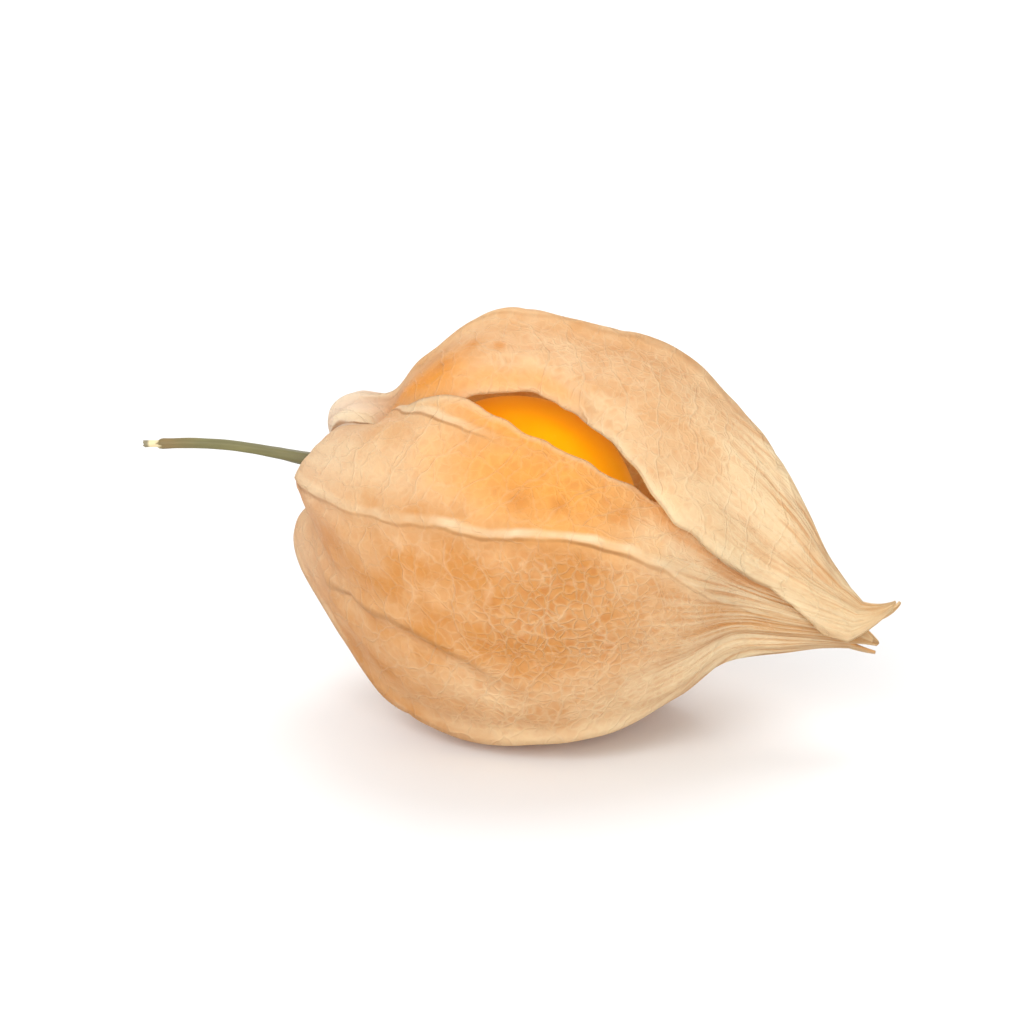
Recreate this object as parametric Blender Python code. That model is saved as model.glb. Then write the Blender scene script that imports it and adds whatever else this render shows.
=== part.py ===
"""Physalis berry: a papery husk lying on its side, open along one slit, with its berry and stem.

The origin is on the surface, under the middle of the husk's flat spot. +Z is up, the stem points
to -X and the beak to +X. The husk is worked out round its own tilted axis: "along" is the distance
from where the stem comes out, and an angle round the axis is 0 at the front (-Y) and 90 on top.
"""
import math

import bmesh
import bpy
import numpy as np

MM = 0.001

# Husk axis, in the XZ plane, with the beak end lower than the stem end.
AXIS_START = (-16.6, 19.0)       # x and z of the point where the stem comes out, mm
AXIS_PITCH = math.radians(13)

# Husk outlines from the stem hole over the shoulder and belly to the mouth: (along, radius) in mm.
SIDE_OUTLINE = [(4.2, 1.35), (2.6, 2.0), (1.7, 3.2), (1.4, 4.8), (2.1, 6.6), (4.0, 8.8), (7.2, 11.6),
                (11.8, 14.2), (17.5, 15.3), (23.2, 14.7), (28.4, 12.4), (32.3, 8.7), (35.4, 4.6),
                (39.6, 2.8), (43.5, 1.6)]
TOP_OUTLINE = [(4.2, 1.35), (2.4, 2.0), (1.4, 3.2), (1.4, 4.8), (2.8, 6.2), (5.6, 7.1), (7.3, 10.4),
               (11.0, 14.0), (17.3, 14.8), (23.0, 14.3), (28.3, 12.8), (33.0, 10.4), (37.4, 7.0),
               (40.6, 3.7), (43.6, 1.5)]

# Sepals: five, each with a keel down its middle and a seam on each side.
SEPALS = 5
SEPAL_STEP = 360 / SEPALS
FIRST_KEEL = 14                  # degrees
SWAY_ALONG = [2, 6, 12, 19, 24, 28, 32, 36, 40, 46]
SWAY_ANGLE = [-9, -6, 0, 3, 8, 10, 6, -7, -9, -14]
KEEL_RISE = 0.45                 # mm
SHOULDER_REACH = 0.9             # mm, how far the keels reach back round the stem
TORN_SEAM_ALONG = [2, 4.5, 8, 11]
TORN_SEAM_RISE = [24, 23, 7, 0]  # degrees, how far above its even place the seam at the slit starts

# The slit: sepal 0 ends at its lower lip, and sepal 1 is the flap above it, which overlaps it
# from the middle of the husk to the beak.
LIP_ALONG = [2, 4.5, 8, 9, 13, 16, 20, 24, 27, 46]
LIP_ANGLE = [65, 65, 53, 54, 52, 48, 45, 43, 42, 42]
FLAP_ALONG = [2, 4.5, 8, 11, 13, 17, 20, 23, 26.5, 30, 34, 37, 39, 41, 44]
FLAP_ANGLE = [65, 65, 53, 58, 63, 65, 59, 51, 43, 35, 32, 32, 24, 8, -6]
SLIT_START = 8                   # mm along
FLAP_LIFT = 0.7                  # mm, above the open slit
FLAP_OVERLAP_LIFT = 1.25         # mm, where the flap lies over the lip

# Loose tips at the mouth, one for each sepal: (length mm, curl degrees away from the axis).
TIPS = [(1.7, 20), (2.5, 45), (3.0, 80), (1.9, 40), (2.0, -10)]
TIP_NARROWING = 0.75

# The sheet is meshed in cells, which the raised net surrounds.
COLUMNS = 6                      # in each sepal
ROWS = 38
TIP_ROWS = 3
NET_FROM_RADIUS = 5.6            # mm, the net fades out where the husk is narrower
NET_ZIGZAG = 0.16                # of a column
NET_SLANT = 0.7                  # of a row, towards the seams
NET_WIDTH = 0.4                  # mm, half a vein
NET_CELL_AREA = 3.0              # square mm, the smallest cell that is sunk
NET_HEIGHT = 0.22                # mm
WALL = 0.84                      # mm, on a vein
THIN_WALL = 0.62                 # mm, at the stem hole and the beak

BERRY_ALONG = 16.6               # mm, centre
BERRY_RADIUS = 9.5
BERRY_DIMPLE = 0.5
BERRY_DIMPLE_ANGLE = math.radians(16)

# Stem: from its swollen end under the berry, through the hole, then free in the air.
STEM_INSIDE = [(6.35, 1.3), (5.9, 1.75), (5.2, 1.45), (4.4, 1.0), (3.0, 0.75), (1.0, 0.6)]
STEM_OUTSIDE = [(-1.0, 0.02, 0.5), (-3.0, 0.25, 0.43), (-6.0, 0.5, 0.4), (-9.0, 0.48, 0.4),
                (-11.5, 0.27, 0.4), (-13.3, 0.1, 0.45)]
STEM_SMOOTHING = 3               # steps between two of its points


def clear_scene():
    for old in list(bpy.data.objects):
        bpy.data.objects.remove(old, do_unlink=True)


def make_material(name, colour, roughness):
    material = bpy.data.materials.new(name)
    material.use_nodes = True
    shader = material.node_tree.nodes["Principled BSDF"]
    shader.inputs["Base Color"].default_value = (*colour, 1.0)
    shader.inputs["Roughness"].default_value = roughness
    shader.inputs["Metallic"].default_value = 0.0
    return material


def finish(obj, collection, material, sharp_angle):
    """Link the object to the part's collection alone, and shade it smooth."""
    for old in list(obj.users_collection):
        old.objects.unlink(obj)
    collection.objects.link(obj)
    obj.data.materials.append(material)
    if obj.type == "MESH":
        obj.data.shade_smooth()
        obj.data.set_sharp_from_angle(angle=sharp_angle)


def ease(low, high, value):
    """0 below low, 1 above high, and smooth between."""
    part = np.clip((value - low) / (high - low), 0, 1)
    return part * part * (3 - 2 * part)


def bell(value, middle, width):
    return np.exp(-((value - middle) / width) ** 2)


def curve_through(points, place):
    """Catmull-Rom curve through the points, read at place = 0 .. len(points) - 1."""
    points = np.asarray(points, float)
    last = len(points) - 1
    place = min(max(place, 0.0), float(last))
    start = min(int(place), last - 1)
    part = place - start
    padded = np.vstack([2 * points[0] - points[1], points, 2 * points[-1] - points[-2]])
    a, b, c, d = padded[start:start + 4]
    return 0.5 * (2 * b + (c - a) * part + (2 * a - 5 * b + 4 * c - d) * part ** 2
                  + (3 * b - 3 * c + d - a) * part ** 3)


def row_places():
    """Places on the side outline that cut it into ROWS equal lengths."""
    fine = np.linspace(0, len(SIDE_OUTLINE) - 1, 400)
    points = np.array([curve_through(SIDE_OUTLINE, place) for place in fine])
    steps = np.hypot(*np.diff(points, axis=0).T)
    travelled = np.concatenate([[0], np.cumsum(steps)])
    return np.interp(np.linspace(0, travelled[-1], ROWS + 1), travelled, fine)


ROW_PLACES = row_places()


def on_axis(along, lift=0.0):
    """World point on the husk's axis, in mm, raised by lift square to the axis."""
    x = AXIS_START[0] + along * math.cos(AXIS_PITCH) + lift * math.sin(AXIS_PITCH)
    z = AXIS_START[1] - along * math.sin(AXIS_PITCH) + lift * math.cos(AXIS_PITCH)
    return np.array([x, 0.0, z])


def round_axis(along, radius, angle):
    """World point at that radius and angle (degrees) round the axis, no lower than the surface."""
    turn = math.radians(angle)
    point = on_axis(along, radius * math.sin(turn)) - np.array([0, radius * math.cos(turn), 0])
    point[2] = max(point[2], 0.0)
    return point


def top_share(angle):
    """How far the top outline replaces the side outline at this angle."""
    angle = (angle + 90) % 360 - 90
    return float(ease(20, 75, angle) * (1 - ease(150, 205, angle)))


def keel_angle(sepal, along):
    return FIRST_KEEL + SEPAL_STEP * sepal + float(np.interp(along, SWAY_ALONG, SWAY_ANGLE))


def sepal_angle(sepal, across, along):
    """Angle round the axis at across = -1 (one border) .. 0 (keel) .. 1 (the other border)."""
    keel = keel_angle(sepal, along)
    low, high = keel - SEPAL_STEP / 2, keel + SEPAL_STEP / 2
    if sepal == 0:
        high = float(np.interp(along, LIP_ALONG, LIP_ANGLE))
    if sepal == 1:
        low = float(np.interp(along, FLAP_ALONG, FLAP_ANGLE))
    return keel + (high - keel) * across if across > 0 else keel + (keel - low) * across


def off_keel(angle, along):
    """0 on a keel and 1 on a seam. The torn seam rises towards the stem, so its sepals differ."""
    turns = (angle - keel_angle(0, along)) / SEPAL_STEP
    torn_seam = 0.5 + float(np.interp(along, TORN_SEAM_ALONG, TORN_SEAM_RISE)) / SEPAL_STEP
    if 0 < turns < 1:
        return turns / torn_seam if turns < torn_seam else (1 - turns) / (1 - torn_seam)
    return 2 * abs(turns - round(turns))


def flap_lift(sepal, across, along):
    if sepal != 1:
        return 0.0
    over = float(ease(18, 25, along))
    height = FLAP_LIFT * (1 - over) + FLAP_OVERLAP_LIFT * over
    return height * float(ease(SLIT_START, SLIT_START + 5, along)) * float(ease(-1.0, 0.4, -across))


def husk_surface(place, sepal, across):
    """Outer surface: (along, radius, angle) at a place on the outline, across one sepal."""
    along = curve_through(SIDE_OUTLINE, place)[0]
    angle = sepal_angle(sepal, across, along)
    share = top_share(angle)
    along, radius = (1 - share) * curve_through(SIDE_OUTLINE, place) \
        + share * curve_through(TOP_OUTLINE, place)
    angle = sepal_angle(sepal, across, along)

    off = off_keel(angle, along)
    in_funnel = 1 - ease(1.1, 3.1, place)
    low_down = 1 - ease(2, 13, along)
    along -= SHOULDER_REACH * math.cos(math.pi * off) * bell(place, 3.4, 1.6) * (1 - 0.6 * share)
    corner = 0.10 + 0.15 * ease(4, 14, along)
    half_step = math.radians(SEPAL_STEP / 2)
    flat_side = math.cos(half_step) / math.cos(half_step * (1 - off))
    radius *= (1 + 0.3 * corner) * (1 - corner + corner * flat_side)
    radius -= (0.9 * low_down + 0.15) * bell(off, 1, 0.22) * (1 - in_funnel) * ease(2, 5, radius)
    radius += KEEL_RISE * bell(off, 0, 0.1) * ease(3, 8, radius)
    radius += flap_lift(sepal, across, along)
    return along, radius, angle


def body_point(row, sepal, across):
    """A point of the sheet on that row, moved a little so that the cells are six-sided."""
    column = round((across + 1) / 2 * COLUMNS)
    place = ROW_PLACES[row]
    radius = husk_surface(place, sepal, across)[1]
    netted = float(ease(4, 8, radius))
    if column not in (0, COLUMNS // 2, COLUMNS) and 0 < row < ROWS:
        side = 1 if (row + column) % 2 == 0 else -1
        across += side * NET_ZIGZAG * 2 / COLUMNS * netted
    if 0 < row < ROWS - 1:
        next_place = ROW_PLACES[row + 1]
        place += (next_place - place) * NET_SLANT * abs(across) * netted
    return round_axis(*husk_surface(place, sepal, across))


def tip_point(step, sepal, across):
    """A point of a loose tip: the sepal's end drawn out to a curled point."""
    length, curl = TIPS[sepal]
    root = body_point(ROWS, sepal, 0)
    edge = body_point(ROWS, sepal, across)
    part = step / TIP_ROWS
    bend = math.radians(curl) * part / 2
    along, radius, angle = husk_surface(ROW_PLACES[ROWS], sepal, 0)
    forwards = round_axis(along + length * part * math.cos(bend),
                          radius + length * part * math.sin(bend), angle)
    return forwards + (edge - root) * (1 - TIP_NARROWING * part)


def is_netted(row):
    return 0 < row < ROWS and curve_through(SIDE_OUTLINE, ROW_PLACES[row])[1] > NET_FROM_RADIUS


def add_sepal(bm, sepal):
    """A grid with the keel down its middle, its cells joined in staggered pairs, then shaped."""
    rows = ROWS + TIP_ROWS
    verts = bmesh.ops.create_grid(bm, x_segments=COLUMNS, y_segments=rows, size=1.0)["verts"]
    row_of = {vert: round((vert.co.y + 1) / 2 * rows) for vert in verts}
    column_of = {vert: round((vert.co.x + 1) / 2 * COLUMNS) for vert in verts}
    spare_rungs = []
    for edge in bm.edges:
        first, second = edge.verts
        if first in row_of and row_of[first] == row_of[second] and is_netted(row_of[first]):
            if (row_of[first] + min(column_of[first], column_of[second])) % 2:
                spare_rungs.append(edge)
    bmesh.ops.dissolve_edges(bm, edges=spare_rungs, use_verts=False)
    for vert in verts:
        row, across = row_of[vert], 2 * column_of[vert] / COLUMNS - 1
        point = body_point(row, sepal, across) if row <= ROWS else tip_point(row - ROWS, sepal, across)
        vert.co = point * MM


def wall_at(point):
    """Wall thickness, thinner where the husk closes in on its axis."""
    start = on_axis(0)
    axis = on_axis(1) - start
    offset = np.array(point) / MM - start
    radius = float(np.linalg.norm(offset - axis * (offset @ axis)))
    return THIN_WALL + (WALL - THIN_WALL) * float(ease(3, 7, radius))


def make_husk():
    """Five sepals joined along their seams, but not along the slit, thickened inwards."""
    bm = bmesh.new()
    for sepal in range(SEPALS):
        add_sepal(bm, sepal)
    bmesh.ops.remove_doubles(bm, verts=bm.verts, dist=1e-6)
    bmesh.ops.reverse_faces(bm, faces=bm.faces)          # the grids face the axis
    bm.normal_update()
    outside = bm.faces[:]
    inner_place = {tuple(vert.co): vert.co - vert.normal * wall_at(vert.co) * MM for vert in bm.verts}
    inside = bmesh.ops.extrude_face_region(bm, geom=outside)["geom"]
    for item in inside:
        if isinstance(item, bmesh.types.BMVert):
            item.co = inner_place[tuple(item.co)]
    cells = [face for face in outside
             if face.calc_area() > NET_CELL_AREA * MM ** 2
             and max(vert.co.z for vert in face.verts) > 0.05 * MM]
    bmesh.ops.recalc_face_normals(bm, faces=bm.faces)
    bmesh.ops.inset_individual(bm, faces=cells, thickness=NET_WIDTH * MM, depth=-NET_HEIGHT * MM,
                               use_even_offset=True)
    bmesh.ops.triangulate(bm, faces=bm.faces)
    mesh = bpy.data.meshes.new("husk")
    bm.to_mesh(mesh)
    bm.free()
    return bpy.data.objects.new("husk", mesh)


def make_berry():
    """A ball with a dimple where it sits on the stem."""
    turn = math.pi / 2 + AXIS_PITCH
    bpy.ops.mesh.primitive_uv_sphere_add(segments=40, ring_count=24, radius=BERRY_RADIUS * MM)
    berry = bpy.context.object
    berry.name = "berry"
    berry.data.name = "berry"
    for vert in berry.data.vertices:
        from_stem = math.pi - math.atan2(math.hypot(vert.co.x, vert.co.y), vert.co.z)
        vert.co *= 1 - BERRY_DIMPLE / BERRY_RADIUS * bell(from_stem, 0, BERRY_DIMPLE_ANGLE)
    berry.location = on_axis(BERRY_ALONG) * MM
    berry.rotation_euler = (0, turn, 0)
    return berry


def make_stem():
    """A thin tube: its radius swells to a knob under the berry."""
    points = [(*on_axis(along), radius) for along, radius in STEM_INSIDE]
    start_x, start_z = AXIS_START
    points += [(start_x + x, 0, start_z + z, radius) for x, z, radius in STEM_OUTSIDE]
    steps = (len(points) - 1) * STEM_SMOOTHING
    smooth = [curve_through(points, step / STEM_SMOOTHING) for step in range(steps + 1)]

    curve = bpy.data.curves.new("stem", "CURVE")
    curve.dimensions = "3D"
    curve.bevel_depth = MM
    curve.bevel_resolution = 4
    curve.use_fill_caps = True
    spline = curve.splines.new("POLY")
    spline.points.add(len(smooth) - 1)
    for point, (x, y, z, radius) in zip(spline.points, smooth):
        point.co = (x * MM, y * MM, z * MM, 1)
        point.radius = radius
    return bpy.data.objects.new("stem", curve)


def main():
    clear_scene()
    collection = bpy.data.collections.new("physalis_berry")
    bpy.context.scene.collection.children.link(collection)
    finish(make_husk(), collection, make_material("dry husk", (0.78, 0.42, 0.16), 0.6), math.radians(30))
    finish(make_berry(), collection, make_material("berry skin", (0.94, 0.34, 0.01), 0.25), math.radians(60))
    finish(make_stem(), collection, make_material("green stem", (0.24, 0.22, 0.08), 0.6), math.radians(60))


main()
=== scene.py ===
# %% [markdown]
# # A physalis berry in its papery husk
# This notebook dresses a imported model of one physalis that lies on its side: a dry husk of five
# sepals, torn open along one slit, a glossy orange berry inside and a thin stem.
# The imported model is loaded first. It fixes every size, so each piece below goes where it says.

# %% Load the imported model
import math

import bpy
import numpy as np
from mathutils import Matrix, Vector, noise


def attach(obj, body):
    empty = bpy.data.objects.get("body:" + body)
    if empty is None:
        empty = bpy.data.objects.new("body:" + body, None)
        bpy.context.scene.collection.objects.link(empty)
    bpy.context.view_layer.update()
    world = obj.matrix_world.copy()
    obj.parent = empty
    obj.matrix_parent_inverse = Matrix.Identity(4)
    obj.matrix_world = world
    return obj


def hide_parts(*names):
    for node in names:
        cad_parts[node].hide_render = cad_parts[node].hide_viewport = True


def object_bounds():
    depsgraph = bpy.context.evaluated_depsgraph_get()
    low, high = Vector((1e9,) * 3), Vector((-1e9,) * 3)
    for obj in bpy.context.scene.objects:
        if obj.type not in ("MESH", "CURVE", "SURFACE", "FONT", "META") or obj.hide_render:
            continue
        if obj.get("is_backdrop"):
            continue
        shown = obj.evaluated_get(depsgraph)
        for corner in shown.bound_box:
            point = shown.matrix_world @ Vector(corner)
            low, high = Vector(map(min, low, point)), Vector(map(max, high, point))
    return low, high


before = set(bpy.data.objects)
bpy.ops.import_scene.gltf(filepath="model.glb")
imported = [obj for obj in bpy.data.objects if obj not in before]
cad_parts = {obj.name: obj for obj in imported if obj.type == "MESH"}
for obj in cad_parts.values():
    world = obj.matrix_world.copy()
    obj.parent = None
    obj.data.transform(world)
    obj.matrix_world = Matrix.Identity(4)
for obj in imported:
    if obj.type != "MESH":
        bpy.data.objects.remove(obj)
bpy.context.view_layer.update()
bpy.ops.object.select_all(action="DESELECT")
MM = 0.001                       # m

# %% [markdown]
# ## The husk's own axis
# A physalis husk is a turned shape to begin with: a lantern round an axis that runs from the stem
# to the beak. This one lies on its belly, so its axis is tilted. Working round that axis, every
# point of the husk is three numbers: how far along the axis, how far out, and at which angle.
# One small function then turns those numbers into a place in the world.

# %% Axis and world places
AXIS_START = (-16.6, 19.0)       # x and z of the point where the stem comes out, mm
AXIS_PITCH = math.radians(13)
AXIS = np.array([math.cos(AXIS_PITCH), 0, -math.sin(AXIS_PITCH)])
AXIS_UP = np.array([math.sin(AXIS_PITCH), 0, math.cos(AXIS_PITCH)])
FRONT = np.array([0, -1, 0])


def round_axis(along, radius, angle):
    """World places in mm for arrays of along and radius in mm and angle in degrees."""
    start = np.array([AXIS_START[0], 0, AXIS_START[1]])
    turn = np.radians(angle)
    out = np.cos(turn)[..., None] * FRONT + np.sin(turn)[..., None] * AXIS_UP
    places = start + along[..., None] * AXIS + radius[..., None] * out
    places[..., 2] = np.maximum(places[..., 2], 0)
    return places


def ease(low, high, value):
    """0 below low, 1 above high, and smooth between."""
    part = np.clip((value - low) / (high - low), 0, 1)
    return part * part * (3 - 2 * part)


def bell(value, middle, width):
    return np.exp(-((value - middle) / width) ** 2)


def curve_through(points, place):
    """Smooth curve through the points, read at places 0 .. len(points) - 1."""
    points = np.asarray(points, float)
    last = len(points) - 1
    place = np.clip(np.asarray(place, float), 0, last)
    start = np.minimum(place.astype(int), last - 1)
    part = (place - start)[..., None]
    padded = np.vstack([2 * points[0] - points[1], points, 2 * points[-1] - points[-2]])
    a, b, c, d = (padded[start + step] for step in range(4))
    return 0.5 * (2 * b + (c - a) * part + (2 * a - 5 * b + 4 * c - d) * part ** 2
                  + (3 * b - 3 * c + d - a) * part ** 3)


print("the axis falls", round(math.degrees(AXIS_PITCH)), "degrees towards the beak")

# %% [markdown]
# ## The lantern's outline
# Two outlines are enough. The side one is plump and closes early into the beak. The top one has a
# dent behind the shoulder, where the husk has folded, and stays full for longer. They blend round
# the axis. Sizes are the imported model's, so the paper skin lies on its solid husk.

# %% Outlines from the stem hole to the mouth, (along, radius) in mm
SIDE_OUTLINE = [(4.2, 1.35), (2.6, 2.0), (1.7, 3.2), (1.4, 4.8), (2.1, 6.6), (4.0, 8.8), (7.2, 11.6),
                (11.8, 14.2), (17.5, 15.3), (23.2, 14.7), (28.4, 12.4), (32.3, 8.7), (35.4, 4.6),
                (39.6, 2.8), (43.5, 1.6)]
TOP_OUTLINE = [(4.2, 1.35), (2.4, 2.0), (1.4, 3.2), (1.4, 4.8), (2.8, 6.2), (5.6, 7.1), (7.3, 10.4),
               (11.0, 14.0), (17.3, 14.8), (23.0, 14.3), (28.3, 12.8), (33.0, 10.4), (37.4, 7.0),
               (40.6, 3.7), (43.6, 1.5)]


def even_places(count):
    """Places on the side outline that cut it into equal lengths, and its whole length."""
    fine = np.linspace(0, len(SIDE_OUTLINE) - 1, 400)
    steps = np.hypot(*np.diff(curve_through(SIDE_OUTLINE, fine), axis=0).T)
    travelled = np.concatenate([[0], np.cumsum(steps)])
    return np.interp(np.linspace(0, travelled[-1], count), travelled, fine), travelled[-1]


def from_belly(angle):
    """The same angle, counted from -90 straight under the husk up to 270."""
    return (angle + 90) % 360 - 90


def top_share(angle):
    """1 where the outline is the top one, 0 where it is the side one."""
    turn = from_belly(angle)
    return ease(20, 75, turn) * (1 - ease(150, 205, turn))


print("outline from stem hole to mouth:", round(even_places(2)[1], 1), "mm")

# %% [markdown]
# ## Five sepals, their keels and the slit
# The husk is a calyx: five sepals grown edge to edge. Each has a raised keel down its middle and a
# seam on both sides. They sway a little on the way to the beak. One seam has torn, so the upper
# sepal is a loose flap. It stands open over the berry and lies over its neighbour further on.
# Each line is a short list of places along the axis in mm and angles in degrees, which is easy to
# adjust. The slit is up to 0.6 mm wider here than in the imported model.

# %% Where the keels, the lip and the flap run
SEPALS = 5
SEPAL_STEP = 360 / SEPALS
FIRST_KEEL = 14                  # degrees
SWAY_ALONG = [2, 6, 12, 19, 24, 28, 32, 36, 40, 46]
SWAY_ANGLE = [-9, -6, 0, 3, 8, 10, 6, -7, -9, -14]
SWAY_SMOOTHING = (-1.6, -0.6, 0.6, 1.6)   # mm, places along that the sway is averaged over
TORN_SEAM_ALONG = [2, 4.5, 8, 11]
TORN_SEAM_RISE = [24, 23, 7, 0]  # degrees, how far above its even place the torn seam starts
LIP_ALONG = [2, 4.5, 8, 9, 13, 16, 20, 24, 27, 46]
LIP_ANGLE = [65, 65, 53, 54, 52, 48, 45, 43, 42, 42]
FLAP_ALONG = [2, 4.5, 8, 11, 13, 17, 20, 23, 26.5, 30, 34, 37, 39, 41, 44]
FLAP_ANGLE = [65, 65, 53, 58, 63, 66, 61, 53.5, 45, 36, 32, 32, 24, 8, -6]
SLIT_START = 8                   # mm along
FLAP_LIFT = 0.7                  # mm, above the open slit
FLAP_OVERLAP_LIFT = 1.25         # mm, where the flap lies over the lip


def keel_angle(sepal, along):
    sways = [np.interp(along + nearby, SWAY_ALONG, SWAY_ANGLE) for nearby in SWAY_SMOOTHING]
    return FIRST_KEEL + SEPAL_STEP * sepal + np.mean(sways, axis=0)


def sepal_angle(sepal, across, along):
    """Angle round the axis at across = -1 (one border) .. 0 (keel) .. 1 (the other border)."""
    keel = keel_angle(sepal, along)
    low, high = keel - SEPAL_STEP / 2, keel + SEPAL_STEP / 2
    if sepal == 0:
        high = np.interp(along, LIP_ALONG, LIP_ANGLE)
    if sepal == 1:
        low = np.interp(along, FLAP_ALONG, FLAP_ANGLE)
    return keel + np.where(across > 0, high - keel, keel - low) * across


def on_free_side(sepal, across):
    """True on the halves of the two sepals that lie beside the slit."""
    return (sepal == 0) * (across > 0) + (sepal == 1) * (across < 0)


def flap_lift(sepal, across, along):
    over = ease(18, 25, along)
    height = FLAP_LIFT * (1 - over) + FLAP_OVERLAP_LIFT * over
    return (sepal == 1) * height * ease(SLIT_START, SLIT_START + 5, along) * ease(-1.0, 0.4, -across)


print("slit from", SLIT_START, "mm along to the mouth, under the flap of sepal 1")

# %% [markdown]
# ## The husk's smooth surface
# Between two keels the paper is nearly flat, so a cut through the husk is a rounded pentagon. The
# keels stand up as low ridges and the seams lie in shallow grooves, which deepen near the stem,
# where the sepals bulge as lobes round it. Apart from the slit's width, this surface is the
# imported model's, and the fine relief comes on top of it.

# %% Keels, seams and flat sides
KEEL_RISE = 0.45                 # mm
KEEL_WIDTH = 0.1                 # of the way from the keel to the seam
SEAM_GROOVE = 0.15               # mm, all along
SEAM_GROOVE_AT_BASE = 0.9        # mm, added near the stem
SEAM_WIDTH = 0.22                # of the way from the seam to the keel
SHOULDER_REACH = 0.9             # mm, how far the keels reach back round the stem
CORNERS = 0.10                   # share of a sharp pentagon in the section near the stem
MORE_CORNERS = 0.15              # added to it further along


def off_keel(angle, along):
    """0 on a keel and 1 on a seam. The torn seam rises towards the stem, so its sepals differ."""
    turns = (angle - keel_angle(0, along)) / SEPAL_STEP
    torn_seam = 0.5 + np.interp(along, TORN_SEAM_ALONG, TORN_SEAM_RISE) / SEPAL_STEP
    beside = np.where(turns < torn_seam, turns / torn_seam, (1 - turns) / (1 - torn_seam))
    return np.where((turns > 0) & (turns < 1), beside, 2 * np.abs(turns - np.round(turns)))


def smooth_surface(place, sepal, across):
    """Along, radius and angle of the husk's outside, without the fine relief."""
    side = curve_through(SIDE_OUTLINE, place)
    share = top_share(sepal_angle(sepal, across, side[..., 0]))[..., None]
    mixed = (1 - share) * side + share * curve_through(TOP_OUTLINE, place)
    along, radius, share = mixed[..., 0], mixed[..., 1], share[..., 0]
    angle = sepal_angle(sepal, across, along)
    off = off_keel(angle, along)
    in_funnel = 1 - ease(1.1, 3.1, place)
    near_stem = 1 - ease(2, 13, along)
    along = along - SHOULDER_REACH * np.cos(math.pi * off) * bell(place, 3.4, 1.6) * (1 - 0.6 * share)
    corner = CORNERS + MORE_CORNERS * ease(4, 14, along)
    half_step = math.radians(SEPAL_STEP / 2)
    flat_side = math.cos(half_step) / np.cos(half_step * (1 - off))
    radius = radius * (1 + 0.3 * corner) * (1 - corner + corner * flat_side)
    groove = SEAM_GROOVE_AT_BASE * near_stem + SEAM_GROOVE
    radius = radius - groove * bell(off, 1, SEAM_WIDTH) * (1 - in_funnel) * ease(2, 5, radius)
    radius = radius + KEEL_RISE * bell(off, 0, KEEL_WIDTH) * ease(3, 8, radius)
    return along, radius + flap_lift(sepal, across, along), angle


widest = smooth_surface(np.arange(0.0, len(SIDE_OUTLINE)), 0, np.array(0.0))[1].max()
print("widest at a keel:", round(float(widest), 1), "mm from the axis")

# %% [markdown]
# ## Folds, wrinkles and main veins
# Dry paper is never smooth. Close to the stem it is gathered in soft wrinkles, the beak is
# pleated, and a few creases cross the sepals. The keels, the seams near the stem and the fold
# under the lip stand up as main veins. Nearly all of it is a small change of radius, worked out
# from noise and from bells round a line, so it repeats exactly.

# %% Noise and lines over the husk
FOLD_ALONG = [2, 4.4, 7.8, 11.2, 14.1, 17, 20, 24]          # the fold that runs below the lip
FOLD_ANGLE = [66, 65, 50, 44, 42, 40, 40, 41]
LOW_FOLD_ALONG = [5.2, 7.9, 11.7, 14.9, 18.1, 22.8, 25.6]   # the fold low on the front
LOW_FOLD_ANGLE = [-38, -26, -19, -19, -21, -28, -37]
NOISE_SEED = 17.0


def noise_at(u, v, w):
    """Smooth noise from -1 to 1, read at arrays u, v and w."""
    places = np.broadcast_arrays(u, v, w)
    flat = [noise.noise(Vector(place)) for place in zip(*(array.ravel() for array in places))]
    return np.array(flat).reshape(places[0].shape)


def round_noise(angle, along, wide, long, seed):
    """Noise on the husk in patches that are wide degrees by long mm, and close up all round."""
    turn = np.radians(angle)
    size = math.degrees(1) / wide
    return noise_at(size * np.cos(turn), size * np.sin(turn), along / long + NOISE_SEED * seed)


def near_line(angle, along, line_along, line_angle, width):
    """1 on a line over the husk, fading over width degrees."""
    line = np.interp(along, line_along, line_angle)
    return bell((angle - line + 180) % 360 - 180, 0, width)


print("folds drawn through", len(FOLD_ALONG) + len(LOW_FOLD_ALONG), "points")

# %% [markdown]
# ## The relief of dry paper
# Every kind of wrinkle has its own noise: long narrow patches for the gathers near the stem, wide
# ones for the swelling of the skin, small ones for crumple, and thin valleys for creases. Each has
# a height of its own, so one of them can be changed without touching the rest. The flap's free
# edge is also turned in above the slit, as drying paper curls away from a tear.

# %% Heights of the relief
GATHER_HEIGHT = 0.34             # mm, wrinkles near the stem
SWELL_HEIGHT = 0.2               # mm
CRUMPLE_HEIGHT = 0.06            # mm
CREASE_DEPTH = 0.16              # mm
PLEAT_HEIGHT = 0.05              # of the radius, in the beak
FOLD_STEP = 0.25                 # mm, beside a fold
LOW_FOLD_RISE = 0.35             # mm
ROLL_DEPTH = 1.7                 # mm, how far the flap's free edge is turned in
ROLL_ALONG = [7.5, 9, 11, 13, 15, 18, 20]
ROLL_ANGLE = [0, 8, 9, 7, 4, 2, 0]   # degrees, how far down the turned edge reaches


def main_vein(sepal, angle, along, off):
    """1 on the keels, on the seams near the stem and on the fold under the lip."""
    keel = bell(off, 0, 0.04)
    seam = 0.6 * bell(off, 1, 0.05) * (1 - ease(9, 20, along))
    fold = near_line(angle, along, FOLD_ALONG, FOLD_ANGLE, 1.5)
    fold = fold * ease(2, 5, along) * (1 - ease(15, 25, along)) * (sepal < 2)
    return np.maximum(np.maximum(keel, seam), 0.8 * fold)


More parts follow.
